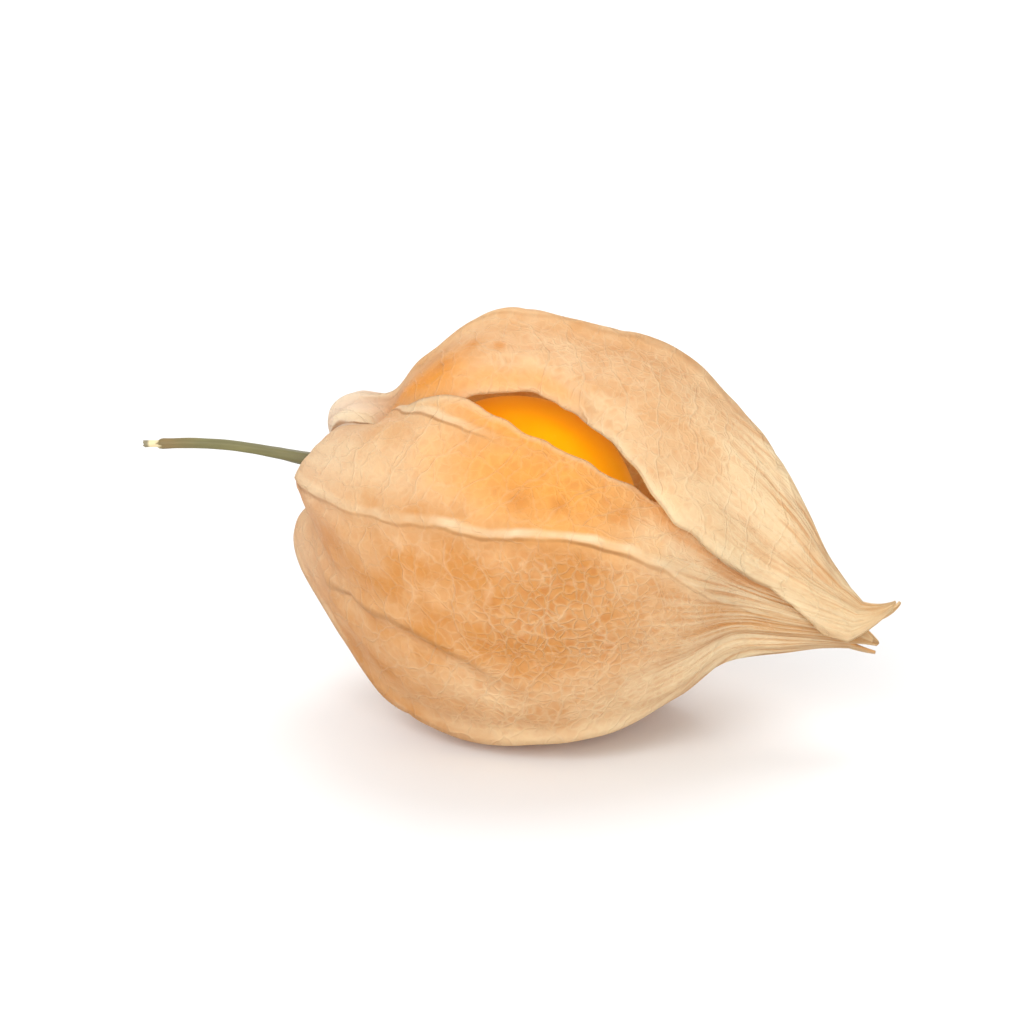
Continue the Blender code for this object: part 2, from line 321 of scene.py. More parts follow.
def folds(angle, along):
    """Soft steps beside the two folds, and the pleats that run together in the beak."""
    under_lip = near_line(angle - 4, along, FOLD_ALONG, FOLD_ANGLE, 4) * (1 - ease(12, 24, along))
    low = near_line(angle, along, LOW_FOLD_ALONG, LOW_FOLD_ANGLE, 3) * ease(4, 7, along)
    low_shade = near_line(angle + 5, along, LOW_FOLD_ALONG, LOW_FOLD_ANGLE, 4) * ease(4, 7, along)
    lower_end = 1 - ease(17, 25, along)
    wander = 2.4 * round_noise(angle, along, 40, 12, 5)
    pleats = np.cos(np.radians(angle) * 9 + wander) + 0.5 * np.cos(np.radians(angle) * 17 - wander)
    low_fold = (LOW_FOLD_RISE * low - FOLD_STEP * low_shade) * lower_end
    return -FOLD_STEP * under_lip + low_fold, pleats


def wrinkles(angle, along, radius):
    gathered = round_noise(angle, along, 6.5, 9, 1) * (1 - ease(4, 16, along)) * ease(2.5, 6, radius)
    swell = round_noise(angle, along, 24, 6, 2)
    crumple = round_noise(angle, along, 7, 1.9, 3)
    crease = (1 - np.abs(round_noise(angle + 2 * along, along, 26, 7, 4))) ** 10
    fold, pleats = folds(angle, along)
    return (GATHER_HEIGHT * gathered + SWELL_HEIGHT * swell + CRUMPLE_HEIGHT * crumple
            - CREASE_DEPTH * crease + fold + PLEAT_HEIGHT * pleats * radius * ease(27, 36, along))


def rolled_edge(sepal, across, along):
    """The flap's free edge turns in above the open slit: (mm inwards, degrees further down)."""
    turned = (sepal == 1) * ease(0.8, 1.0, -across)
    depth = ROLL_DEPTH * turned * ease(7.5, 10.5, along) * (1 - ease(20, 26, along))
    return depth, np.interp(along, ROLL_ALONG, ROLL_ANGLE) * turned


print("creases", CREASE_DEPTH, "mm deep, gathers", GATHER_HEIGHT, "mm high, edge in", ROLL_DEPTH, "mm")

# %% [markdown]
# ## Where the paper is pale, painted with glow and shade, or netted
# The colour of the husk changes slowly over its surface: the flap and the belly are paler, towards
# cream, a painted glow beside the berry stands for its orange light shining through the paper, and
# the middle of each sepal shows its net. There are a few small stains, and painted shade under the
# flap and in the slit's corner.
# Such patches are easiest to paint as numbers on the vertices, which the material reads later.

# %% Painted patches, each about 0 to 1
# Each stain: mm along, angle in degrees, size in mm.
STAINS = [(19.2, 27, 0.8), (22.0, 29, 0.6), (26.3, 33, 0.7), (9.6, 66, 0.8), (11.4, 71, 0.6),
          (13.4, 71, 0.5), (12, 160, 0.9), (24, 215, 1.0), (29, 120, 0.7)]
STAIN_TURN = 4                   # degrees round the husk for each mm of a stain's size


def paleness(sepal, angle, along, flap, upper):
    """How pale the paper is painted, before noise and the net change it."""
    turn = from_belly(angle)
    belly = ease(15, 30, -turn) * (1 - ease(50, 86, -turn)) * ease(9, 20, along)
    above_keel = (sepal == 0) * bell(angle - keel_angle(0, along), 6, 7) * ease(24, 30, along)
    at_lip = (0.2 + 0.25 * (1 - ease(9, 15, along))) * upper
    on_flap = 0.19 * (sepal == 1) + (0.3 - 0.1 * ease(22, 33, along)) * flap
    before_beak = (0.5 - 0.2 * flap) * bell(along, 33, 6)
    on_beak = 0.2 * ease(28, 36, along) * ease(10, 40, turn) * (1 - ease(190, 260, turn))
    return 0.21 + on_flap + at_lip + 0.46 * belly + before_beak + 0.5 * above_keel + on_beak


def painted_shade_and_stains(sepal, angle, along):
    """Painted shade under the flap and in the slit's corner, with the small stains, which are the
    paper's own.
    """
    turn = from_belly(angle)
    below_flap = np.interp(along, FLAP_ALONG, FLAP_ANGLE) - angle
    # painted shade: a band just under the flap's edge, where its shadow falls on sepal 0
    shaded = (sepal == 0) * bell(below_flap, 1, 3.5) * ease(22, 27, along) * (1 - ease(39, 42, along))
    # painted shade in the slit's corner, at the flap's turned-in end
    slit_corner = (sepal == 1) * bell(turn, 61, 7) * bell(along, 9.5, 2.5)
    stained = sum(bell(turn, spot_angle, STAIN_TURN * size) * bell(along, spot_along, size)
                  for spot_along, spot_angle, size in STAINS)
    return np.maximum(0.6 * np.maximum(shaded, slit_corner), stained)


def painted_berry_glow(sepal, across, angle, along):
    """Painted glow: where the berry's orange light would shine through, painted over it, along the lip
    and beside the slit.
    """
    turn = from_belly(angle)
    # painted glow: orange laid on where the berry's light would shine through the paper
    over_berry = bell(turn, 33, 13) * bell(along, 21, 8) * (sepal == 0)
    at_lip = (sepal == 0) * ease(0.5, 0.95, across) * bell(along, 18, 7)
    at_flap = (sepal == 1) * np.maximum(bell(turn, 63, 7) * bell(along, 8.5, 2.8),
                                        0.45 * ease(0.84, 0.92, -across) * (1 - ease(18, 24, along)))
    return np.maximum(np.maximum(over_berry, 0.85 * at_lip), at_flap)


def paint_patches(sepal, across, angle, along):
    """Every painted patch by name, for the vertices of one sepal."""
    turn = from_belly(angle)
    cloud = round_noise(angle, along, 30, 9, 11)
    streak = round_noise(angle, along, 7, 14, 12)
    flap = (sepal == 1) * ease(-0.2, 0.9, -across) * ease(8, 22, along)
    upper = (sepal == 0) * ease(0, 0.25, across)
    painted_glow = painted_berry_glow(sepal, across, angle, along) * (0.9 + 0.5 * cloud + 0.3 * streak)
    lobe = ease(54, 66, turn) * (1 - ease(95, 200, turn))
    base = (1 - ease(2, 8, along)) * (0.25 + 0.75 * lobe)
    middle = bell(along, 25, 9) * ease(0.05, 0.25, off_keel(angle, along))
    netted = middle * (0.55 + 0.45 * (sepal == 0)) * (0.8 + 0.5 * cloud)
    netted = netted * (1 - 0.7 * flap) * (1 - 0.5 * upper)
    pale = paleness(sepal, angle, along, flap, upper) + 0.2 * cloud + 0.15 * streak
    fold_shows = np.where(turn > 20, 1 - ease(10, 18, along),
                          ease(4, 6, along) * (1 - ease(14, 24, along)))
    return {"pale": pale - 0.2 * netted, "painted_glow": painted_glow, "netted": netted, "base": base,
            "folded": fold_shows,
            "beak": ease(28, 36, along) * (1 - 0.6 * flap),
            "inked": 0.3 + 0.7 * (sepal == 0) * (1 - ease(24, 34, along)),
            "shaded": painted_shade_and_stains(sepal, angle, along)}


print(len(STAINS), "stains, the widest of", max(size for _, _, size in STAINS), "mm")

# %% [markdown]
# ## Where the thin lines run
# Cream crests, and brown lines of painted shade beside them, follow the keels, the folds and the
# free edges. A line as thin as that would need far more vertices than the sheet has. So the
# vertices hold only their distance from each line, and the material draws the line where that
# distance is small.

# %% Distances from the lines
HUSK_ALONG = [0, 2, 7, 12, 17, 23, 28, 32, 35, 40, 46]
HUSK_RADIUS = [4, 6, 11, 14, 15, 14.5, 12.5, 9, 6, 3, 1.5]   # mm, turns degrees into mm
NO_LINE = 50.0                   # degrees, so far off that no line is drawn


def line_distances(sepal, across, angle, along):
    """Signed distances in mm from the lines that the material draws thinly."""
    mm_per_degree = math.radians(1) * np.interp(along, HUSK_ALONG, HUSK_RADIUS)
    turn = from_belly(angle)
    fold = turn - np.interp(along, FOLD_ALONG, FOLD_ANGLE)
    low_fold = turn - np.interp(along, LOW_FOLD_ALONG, LOW_FOLD_ANGLE)
    fold = np.where((sepal < 2) & (along > 1.5) & (along < 24), fold, NO_LINE)
    low_fold = np.where((turn < 30) & (along > 4) & (along < 26), low_fold, NO_LINE)
    beside = (1 - np.abs(across)) * SEPAL_STEP / 2
    border = np.where(on_free_side(sepal, across) & (along > SLIT_START), beside, NO_LINE)
    lines = {"from_keel": angle - keel_angle(sepal, along), "from_fold": fold,
             "from_low_fold": low_fold, "from_border": border}
    return {name: value * mm_per_degree for name, value in lines.items()}


print("mm to a degree where the husk is widest:", round(math.radians(1) * max(HUSK_RADIUS), 2))

# %% [markdown]
# ## A sepal's places
# The smooth surface and the relief now meet. The skin is set in a little, so that its relief stays
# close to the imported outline. The free edges beside the slit waver, and each sepal ends in a tip that
# is drawn out, narrowed and curled.

# %% Places with all the relief
BODY_ROWS = 38
TIP_ROWS = 3
FINE = 5                         # fine rows in one of those rows
MAIN_VEIN_RISE = 0.24            # mm
ROOM_FOR_RELIEF = 0.1            # mm, the skin is set in by this much
HOLE_SET_IN = 0.33               # mm more at the stem hole
EDGE_WAVE = 1.3                  # degrees
EDGE_WAVE_LENGTH = 1.7           # mm
EDGE_SEED = 41.0
TIPS = [(1.7, 20), (2.5, 45), (3.0, 80), (1.9, 40), (2.0, -10)]   # length mm, curl degrees
TIP_NARROWING = 0.75             # of the width
PLACES, OUTLINE_LENGTH = even_places(BODY_ROWS * FINE + 1)


def detailed_surface(row, sepal, across):
    """Along, radius and angle of the paper's outside, with all the relief."""
    place = np.interp(row, np.linspace(0, BODY_ROWS, len(PLACES)), PLACES)
    along, radius, angle = smooth_surface(place, sepal, across)
    border = ease(0.75, 1.0, np.abs(across))
    loose = ease(SLIT_START, SLIT_START + 3, along) * on_free_side(sepal, across)
    wave = noise_at(along / EDGE_WAVE_LENGTH, along / 5 + sepal, EDGE_SEED)
    angle = angle + loose * border * EDGE_WAVE * wave
    depth, down = rolled_edge(sepal, across, along)
    off = off_keel(angle, along)
    angle = angle - down
    vein = main_vein(sepal, angle, along, off) * ease(2.0, 5.0, radius)
    relief = wrinkles(angle, along, radius) * ease(1.4, 3.5, radius)
    at_hole = HOLE_SET_IN * (1 - ease(0.4, 1.4, place))
    radius = radius - ROOM_FOR_RELIEF - at_hole + relief + MAIN_VEIN_RISE * vein - depth
    return along, radius, angle


def sepal_places(row, sepal, across):
    """World places in mm for the body and the loose tip, with along and angle for the colours."""
    along, radius, angle = detailed_surface(np.minimum(row, BODY_ROWS), sepal, across)
    places = round_axis(along, radius, angle)
    keel = detailed_surface(np.full_like(row, BODY_ROWS), sepal, np.zeros_like(row))
    root = round_axis(*keel)
    length, curl = TIPS[sepal]
    part = np.clip((row - BODY_ROWS) / TIP_ROWS, 0, 1)
    bend = math.radians(curl) * part / 2
    drawn_out = round_axis(keel[0] + length * part * np.cos(bend),
                           keel[1] + length * part * np.sin(bend), keel[2])
    tip = drawn_out + (places - root) * (1 - TIP_NARROWING * part)[..., None]
    return np.where((row > BODY_ROWS)[..., None], tip, places), along, angle


print("rows from the stem hole to a tip's end:", (BODY_ROWS + TIP_ROWS) * FINE)

# %% [markdown]
# ## A sepal from a grid
# Each sepal starts as a flat grid primitive. Its width becomes the distance from the keel and its
# height the way from the stem hole to the tip, and every vertex moves to its place on the husk.
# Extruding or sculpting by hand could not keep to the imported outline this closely. The grid also
# gives tidy quads, a UV map in millimetres for the fine net, and attributes for the colours.

# %% Sepal builder
COLUMNS = 40
MAP_GIRTH = 96                   # mm, the width of the map for one turn round the husk


def add_sepal(sepal):
    rows = BODY_ROWS + TIP_ROWS
    bpy.ops.mesh.primitive_grid_add(x_subdivisions=COLUMNS, y_subdivisions=rows * FINE, size=2)
    obj = bpy.context.object
    mesh = obj.data
    flat = np.empty(len(mesh.vertices) * 3)
    mesh.vertices.foreach_get("co", flat)
    flat = flat.reshape(-1, 3)
    across = flat[:, 0]
    row = np.round((flat[:, 1] + 1) / 2 * rows * FINE) / FINE
    places, along, angle = sepal_places(row, sepal, across)
    mesh.vertices.foreach_set("co", (places * MM).ravel())

    layers = paint_patches(sepal, across, angle, along)
    layers.update(line_distances(sepal, across, angle, along), across=np.abs(across))
    for name, values in layers.items():
        mesh.attributes.new(name, "FLOAT", "POINT").data.foreach_set("value", values)
    corner = np.empty(len(mesh.loops), int)
    mesh.loops.foreach_get("vertex_index", corner)
    travelled = row / BODY_ROWS * OUTLINE_LENGTH
    net = np.column_stack([(angle / 360 * MAP_GIRTH)[corner], travelled[corner]])
    mesh.uv_layers.active.data.foreach_set("uv", net.ravel())
    mesh.update()
    return obj


sepals = [add_sepal(number) for number in range(SEPALS)]
print("sepals:", len(sepals), "with", len(sepals[0].data.vertices), "vertices each")

# %% [markdown]
# ## One paper skin
# The five sheets are joined and their shared seams merged, so the husk is one sheet that is open
# only along the slit, at the tips and at the stem hole. Solidify then gives it the thickness of
# paper, inwards, so the outside stays where it is. The inner side gets a material of its own,
# because a husk's lining is paler than its outside and lets more of the light through.

# %% Join, merge, face outwards, thicken
PAPER = 0.2                      # mm
MERGE_DISTANCE = 1e-6            # m

bpy.ops.object.select_all(action="DESELECT")
for sepal in sepals:
    sepal.select_set(True)
bpy.context.view_layer.objects.active = sepals[0]
bpy.ops.object.join()
husk = bpy.context.object
husk.name = "husk_skin"
bpy.ops.object.mode_set(mode="EDIT")
bpy.ops.mesh.select_all(action="SELECT")
bpy.ops.mesh.remove_doubles(threshold=MERGE_DISTANCE)
bpy.ops.mesh.flip_normals()
bpy.ops.object.mode_set(mode="OBJECT")
paper = husk.modifiers.new("paper", "SOLIDIFY")
paper.thickness = PAPER * MM
paper.offset = -1
paper.material_offset = 1        # the inner side takes the second material
bpy.ops.object.modifier_apply(modifier="paper")
bpy.ops.object.shade_smooth()
print("husk skin:", len(husk.data.polygons), "faces")

# %% [markdown]
# ## The berry
# A ripe berry is a ball with a dimple where the stem holds it and a small scar at the far end. A
# UV sphere with its poles on the husk's axis has its rings just where both of these sit, so its
# vertices only need pushing in or out. Applying the turn afterwards leaves the place in the mesh.

# %% Berry
BERRY_ALONG = 16.6               # mm, centre
BERRY_RADIUS = 9.5               # mm
DIMPLE = 0.5                     # mm deep
DIMPLE_ANGLE = math.radians(16)
SCAR = 0.12                      # mm deep
SCAR_ANGLE = math.radians(5)
SWELL = 0.08                     # mm, slow unevenness of the skin
SWELL_SIZE = 6                   # mm

bpy.ops.mesh.primitive_uv_sphere_add(segments=96, ring_count=64, radius=BERRY_RADIUS * MM)
berry = bpy.context.object
berry.name = "berry_fruit"
for vertex in berry.data.vertices:
    from_stem = math.pi - math.atan2(math.hypot(vertex.co.x, vertex.co.y), vertex.co.z)
    dimple = DIMPLE * bell(from_stem, 0, DIMPLE_ANGLE)
    scar = SCAR * bell(math.pi - from_stem, SCAR_ANGLE, 0.6 * SCAR_ANGLE)
    swell = SWELL * noise.noise(vertex.co / (SWELL_SIZE * MM))
    vertex.co *= 1 - (dimple + scar - swell) / BERRY_RADIUS
berry.rotation_euler = (0, math.pi / 2 + AXIS_PITCH, 0)
berry.location = round_axis(np.array(BERRY_ALONG), np.array(0.0), np.array(0.0)) * MM
bpy.ops.object.transform_apply(location=True, rotation=True, scale=True)
bpy.ops.object.shade_smooth()
print("berry box, mm:", [round(value / MM, 1) for value in berry.dimensions])

# %% [markdown]
# ## The stem
# The stem is a thin woody stalk. It swells under the berry, passes through the middle of the husk
# and ends in a rough cut, where the bark stops short of the pale core. A cylinder primitive gives
# the round section, and its upright edges are subdivided into rings.

# %% Stem route and rings
STEM_INSIDE = [(6.35, 1.3), (5.9, 1.75), (5.2, 1.45), (4.4, 1.0), (3.0, 0.75), (1.0, 0.6)]
STEM_OUTSIDE = [(-1.0, 0.02, 0.5), (-3.0, 0.25, 0.43), (-6.0, 0.5, 0.4), (-9.0, 0.48, 0.4),
                (-11.5, 0.27, 0.4), (-13.3, 0.1, 0.45)]
STEM_SIDES = 28
STEM_CUTS = 100                  # rings added between the two ends

# Inside: along the axis, radius. Outside: x and z from the axis's start, radius. All in mm.
inside = [(*round_axis(np.array(along), np.array(0.0), np.array(0.0)), radius)
          for along, radius in STEM_INSIDE]
outside = [(AXIS_START[0] + x, 0, AXIS_START[1] + z, radius) for x, z, radius in STEM_OUTSIDE]
route = np.array(inside + outside)

bpy.ops.mesh.primitive_cylinder_add(vertices=STEM_SIDES, radius=1, depth=2)
stem = bpy.context.object
stem.name = "stem_stalk"
bpy.ops.object.mode_set(mode="EDIT")
bpy.ops.mesh.select_mode(type="EDGE")
bpy.ops.mesh.select_all(action="DESELECT")
bpy.ops.object.mode_set(mode="OBJECT")
corners = stem.data.vertices
for edge in stem.data.edges:
    low, high = edge.vertices
    edge.select = abs(corners[low].co.z - corners[high].co.z) > 1
bpy.ops.object.mode_set(mode="EDIT")
bpy.ops.mesh.subdivide(number_cuts=STEM_CUTS)
bpy.ops.object.mode_set(mode="OBJECT")
print("stem rings:", STEM_CUTS + 2, "with", STEM_SIDES, "sides")

# %% [markdown]
# ## Carry the rings along the route
# Each ring moves to its place on the route and turns to face along it, so that the stalk can taper
# and bend. Doing this with numbers instead of a curve object keeps the rings, so the stalk can
# also have soft flutes, a ragged end of the bark and a rough cut. Two attributes tell the
# material how far along a vertex is, and whether it's bark or bare core.

# %% Bend, flutes and cut
BARK_END = 0.935                 # of the way, where the bark has broken off
CORE_SHARE = 0.62                # the bare core's radius, as a share of the stem's
FLUTES = 5
FLUTE_DEPTH = 0.05               # of the radius
ROUGH_CUT = 0.25                 # mm
FLUTE_SEED, CUT_SEED = 51.0, 61.0
SMOOTH_ANGLE = math.radians(50)  # sharper corners than this stay sharp

raw = np.array([vertex.co[:] for vertex in stem.data.vertices])
way = (raw[:, 2] + 1) / 2
turn = np.arctan2(raw[:, 1], raw[:, 0])
middle = curve_through(route, way * (len(route) - 1))
ahead = curve_through(route, np.minimum(way + 0.01, 1) * (len(route) - 1))
behind = curve_through(route, np.maximum(way - 0.01, 0) * (len(route) - 1))
heading = (ahead - behind)[:, :3]
heading /= np.linalg.norm(heading, axis=1)[:, None]
sideways = np.array([0, 1.0, 0])
upwards = np.cross(heading, sideways)
ragged = 0.006 * np.sin(3 * turn) + 0.004 * np.sin(7 * turn)
bare = ease(BARK_END - 0.004, BARK_END + 0.004, way + ragged)
uneven = noise_at(turn * 0.8, way * 22, FLUTE_SEED)
flutes = 1 + FLUTE_DEPTH * np.cos(FLUTES * turn + 9 * way) + FLUTE_DEPTH * uneven
radius = middle[:, 3] * flutes * (1 - (1 - CORE_SHARE) * bare)
cut_noise = noise_at(3 * np.cos(turn), 3 * np.sin(turn), CUT_SEED)
rough_end = ROUGH_CUT * ease(0.99, 1.0, way) * cut_noise
placed = (middle[:, :3] + heading * rough_end[:, None]
          + (np.cos(turn) * radius)[:, None] * sideways + (np.sin(turn) * radius)[:, None] * upwards)
stem.data.vertices.foreach_set("co", (placed * MM).ravel())
for name, values in {"way": way, "bare": bare}.items():
    stem.data.attributes.new(name, "FLOAT", "POINT").data.foreach_set("value", values)
bpy.ops.object.mode_set(mode="EDIT")
bpy.ops.mesh.select_all(action="SELECT")
bpy.ops.mesh.normals_make_consistent(inside=False)
bpy.ops.object.mode_set(mode="OBJECT")
bpy.ops.object.shade_smooth_by_angle(angle=SMOOTH_ANGLE)
print("stem box, mm:", [round(value / MM, 1) for value in stem.dimensions])

# %% [markdown]
# ## Finishes
# A finish is a node tree, and three short helpers keep the trees readable. They make a material,
# add a node with its settings and links in a single line, and set or link a node's inputs.

# %% Material and node helpers
def new_finish(name):
    """A material, its node tree, its Principled shader and its output node."""
    finish = bpy.data.materials.new(name)
    finish.use_nodes = True
    tree = finish.node_tree
    return finish, tree, tree.nodes["Principled BSDF"], tree.nodes["Material Output"]


def connect(tree, node, **sockets):
    """Gives inputs, by name or by i and number, a value each or another node's output."""
    for name, value in sockets.items():
        by_number = name[1:].isdigit()
        socket = node.inputs[int(name[1:]) if by_number else name.replace("_", " ")]
        if isinstance(value, bpy.types.NodeSocket):
            tree.links.new(value, socket)
        else:
            socket.default_value = value


def add(tree, kind, settings=None, **sockets):
    """Adds a node with its own settings, and connects its inputs."""
    node = tree.nodes.new("ShaderNode" + kind)
    for name, value in (settings or {}).items():
        setattr(node, name, value)
    connect(tree, node, **sockets)
    return node


print("helpers for materials and nodes ready")

# %% [markdown]
# ## Sums, ramps and mixes
# A pattern is mostly arithmetic: a mask is multiplied, added or drawn out to another range, and
# then lays one colour over another. Each of those is a helper too. Every colour below is linear
# red, green and blue.

# %% Pattern helpers
def math_node(tree, operation, first, second=0.0):
    return add(tree, "Math", {"operation": operation}, i0=first, i1=second).outputs[0]


def times(tree, first, second):
    return math_node(tree, "MULTIPLY", first, second)


def plus(tree, first, second):
    return math_node(tree, "ADD", first, second)


def highest(tree, *values):
    result = values[0]
    for value in values[1:]:
        result = math_node(tree, "MAXIMUM", result, value)
    return result


def scaled(tree, value, low, high, to_low, to_high):
    """A value from low .. high drawn out to to_low .. to_high, and held there outside it."""
    node = add(tree, "MapRange", {"clamp": True}, Value=value, From_Min=low, From_Max=high,
               To_Min=to_low, To_Max=to_high)
    return node.outputs["Result"]


def ramp(tree, value, stops):
    """A colour for the value, through stops of (place, colour)."""
    node = add(tree, "ValToRGB", Fac=value)
    for place, colour in stops[2:]:
        node.color_ramp.elements.new(place)
    for element, (place, colour) in zip(node.color_ramp.elements, sorted(stops)):
        element.position = place
        element.color = (*colour, 1)
    return node.outputs["Color"]


def mix(tree, share, first, second):
    """The first colour with a share of the second laid over it."""
    first, second = (value if isinstance(value, bpy.types.NodeSocket) else (*value, 1)
                     for value in (first, second))
    return add(tree, "Mix", {"data_type": "RGBA"}, i0=share, i6=first, i7=second).outputs[2]


def attribute(tree, name):
    return add(tree, "Attribute", {"attribute_name": name}).outputs["Fac"]


print("helpers for patterns ready")

# %% [markdown]
# ## Veins and lines of the paper
# The husk is dry skin between veins. Side veins leave each keel and climb towards the mouth, and
# a coarse and a fine net fill the rest. The nets are Voronoi patterns in the UV map's millimetres,
# where the distance to a cell's edge draws each vein. The crests of the keels and folds, and the
# brown lines of painted shade under them, are drawn from the distances that the vertices hold.
# Slow noise makes them wander and fade, so that none of them looks ruled.

# %% Vein patterns
NET_SIZE = 0.8                   # mm, one small cell
NET_VEIN = 0.16                  # of a cell, from its edge
BIG_NET_SIZE = 2.4               # mm
BIG_NET_VEIN = 0.055             # of a big cell
NET_WAVER = 0.9                  # mm, how far the nets are pushed about
SIDE_VEIN_STEP = 3.4             # mm
LINE_WAVER = 0.16                # mm


def flat_noise(tree, where, scale, detail):
    """Noise over the unrolled husk, with scale patches to the millimetre."""
    return add(tree, "TexNoise", {"noise_dimensions": "2D"}, Vector=where, Scale=scale, Detail=detail)


def net_lines(tree, where, size, width):
    """1 in the veins round Voronoi cells, 0 in the cells."""
    cells = add(tree, "TexVoronoi", {"voronoi_dimensions": "2D", "feature": "DISTANCE_TO_EDGE"},
                Vector=where, Scale=1 / size)
    return scaled(tree, cells.outputs["Distance"], 0.0, width, 1.0, 0.0)


def side_veins(tree, flat_map, wander):
    """Veins that leave the keel and climb towards the mouth."""
    travelled = add(tree, "SeparateXYZ", i0=flat_map).outputs["Y"]
    across = attribute(tree, "across")
    phase = math_node(tree, "DIVIDE", travelled, SIDE_VEIN_STEP)
    phase = math_node(tree, "SUBTRACT", phase, times(tree, across, 1.5))
    phase = plus(tree, phase, times(tree, wander, 1.6))
    nearness = math_node(tree, "PINGPONG", phase, 0.5)
    line = scaled(tree, nearness, 0.0, 0.05, 1.0, 0.0)
    return times(tree, line, scaled(tree, across, 0.03, 0.2, 0.0, 1.0))


def paper_nets(tree, flat_map, slow):
    """The fine net, the dents in its cells, and the coarse net with the side veins."""
    wander = flat_noise(tree, flat_map, 0.9, 2.0).outputs["Color"]
    pushed = add(tree, "VectorMath", {"operation": "MULTIPLY_ADD"}, i0=wander,
                 i1=(NET_WAVER, NET_WAVER, 0), i2=flat_map).outputs[0]
    fine = net_lines(tree, pushed, NET_SIZE, NET_VEIN)
    dents = scaled(tree, net_lines(tree, pushed, NET_SIZE, 0.4), 0.3, 0.8, 1.0, 0.0)
    coarse = times(tree, net_lines(tree, pushed, BIG_NET_SIZE, BIG_NET_VEIN), 0.7)
    return fine, dents, highest(tree, side_veins(tree, flat_map, slow), coarse)


def thin_line(tree, name, place, width, strength, wobble=0.0):
    """A line that runs place mm beside the one that the attribute measures from."""
    off = plus(tree, math_node(tree, "SUBTRACT", attribute(tree, name), place), wobble)
    return scaled(tree, math_node(tree, "ABSOLUTE", off), 0.3 * width, width, strength, 0.0)


def paper_lines(tree, flat_map, slow):
    """The cream crests of keels, fold and free edges, and brown lines of painted shade beside them."""
    loose = flat_noise(tree, flat_map, 0.3, 1.0).outputs["Fac"]
    wobble = scaled(tree, loose, 0.3, 0.7, -LINE_WAVER, LINE_WAVER)
    inked = times(tree, attribute(tree, "inked"), scaled(tree, slow, 0.35, 0.6, 0.35, 1.0))
    folded = times(tree, attribute(tree, "folded"), scaled(tree, slow, 0.35, 0.6, 0.7, 1.0))
    keel = times(tree, thin_line(tree, "from_keel", 0.1, 0.42, 0.95, wobble),
                 scaled(tree, loose, 0.35, 0.6, 1.0, 0.4))
    fold = thin_line(tree, "from_fold", 0.35, 0.5, 0.6, wobble)
    edge = thin_line(tree, "from_border", 0.0, 0.7, 0.35)
    crests = highest(tree, times(tree, inked, keel), times(tree, folded, fold), edge)
    # painted shade: thin brown lines just under the keels and folds and along the flap's free edge
    under_keel = thin_line(tree, "from_keel", -0.33, 0.17, 0.75, wobble)
    under_fold = thin_line(tree, "from_fold", -0.1, 0.18, 0.8, wobble)
    low_fold = thin_line(tree, "from_low_fold", -0.2, 0.45, 0.45)
    rim = thin_line(tree, "from_border", 0.0, 0.13, 0.35)
    creases = highest(tree, times(tree, inked, under_keel), times(tree, folded, under_fold),
                      times(tree, folded, low_fold), rim)
    return crests, creases


print("net cells of", NET_SIZE, "and", BIG_NET_SIZE, "mm")

# %% [markdown]
# ## Husk paper
# The paper is straw-orange and matt. Its colour is laid on in thin coats, as a painter would do
# it: first from dark to pale paper, then the painted glow of the berry's light, the dents, the
# painted shade with the stains, and the veins, and last the cream crests, the brown lines of
# painted shade and the lining. The veins, flecks and blotches also raise a little bump. Light
# shines through a husk, so a Translucent shader is mixed with the Principled one.

# %% Husk finish
DARK_PAPER = (0.68, 0.345, 0.095)
PALE_PAPER = (0.88, 0.73, 0.475)
KEEL_CREAM = (0.96, 0.88, 0.64)
# painted glow: the berry's light through the paper, laid on as colour
PAINTED_BERRY_GLOW = (0.93, 0.46, 0.05)
DENT_BROWN = (0.60, 0.26, 0.07)
SHADE_LINE_BROWN = (0.36, 0.17, 0.055)
# colour of the painted shade and of the real stains
SHADE_AND_STAIN_ORANGE = (0.68, 0.30, 0.055)
BASE_GREY = (0.84, 0.77, 0.67)
LINING = (0.96, 0.84, 0.55)
FLECKS = 1100.0                  # to the metre
BLOTCHES = 260.0                 # to the metre
STREAKS = (1.5, 0.12, 1.0)       # to the millimetre round the husk, and along it
BUMP_HEIGHT = 0.1                # mm


